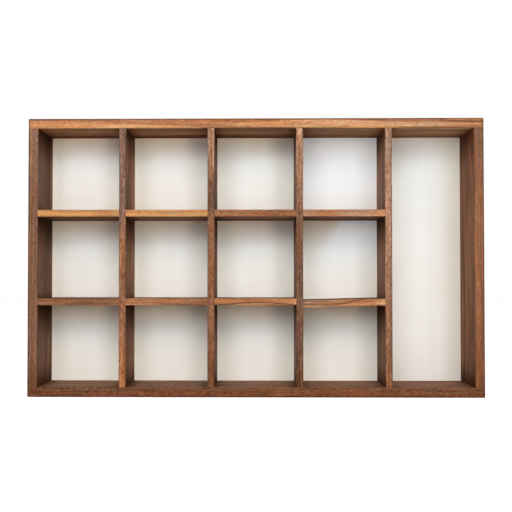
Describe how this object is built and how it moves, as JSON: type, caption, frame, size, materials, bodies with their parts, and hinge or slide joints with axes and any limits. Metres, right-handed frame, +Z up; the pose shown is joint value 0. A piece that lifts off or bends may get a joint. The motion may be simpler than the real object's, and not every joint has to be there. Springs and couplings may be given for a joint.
{
  "type": "letterpress type case",
  "caption": "Shallow open-front walnut case of joined boards: a grid of square compartments beside one full-height compartment, closed behind by a white-faced panel.",
  "frame": {"origin": "middle of the underside of the bottom rail, on the surface that the case stands on", "axes": "+X to the right as seen from the open front, towards the tall compartment; +Y from the open front to the back panel; +Z up"},
  "size_m": [0.4236, 0.07, 0.2591],
  "materials": {
    "frame_walnut": "satin oil on planed walnut",
    "divider_walnut": "satin oil on planed walnut",
    "shelf_walnut": "satin oil on planed walnut",
    "panel_white": "matt white paint on a fibre panel, its back bare brown",
    "dowel_beech": "bare turned beech",
    "brad_steel": "plain drawn wire"
  },
  "bodies": {
    "root": {"top_rail": "frame_walnut", "bottom_rail": "frame_walnut", "left_stile": "frame_walnut", "right_stile": "frame_walnut", "back_panel": "panel_white", "panel_brads": "brad_steel", "dowels_top_left": "dowel_beech", "dowels_top_right": "dowel_beech", "dowels_bottom_left": "dowel_beech", "dowels_bottom_right": "dowel_beech", "divider_1": "divider_walnut", "divider_2": "divider_walnut", "divider_3": "divider_walnut", "divider_4": "divider_walnut", "shelf_column_1_level_1": "shelf_walnut", "shelf_column_1_level_2": "shelf_walnut", "shelf_column_2_level_1": "shelf_walnut", "shelf_column_2_level_2": "shelf_walnut", "shelf_column_3_level_1": "shelf_walnut", "shelf_column_3_level_2": "shelf_walnut", "shelf_column_4_level_1": "shelf_walnut", "shelf_column_4_level_2": "shelf_walnut"}
  },
  "joints": []
}
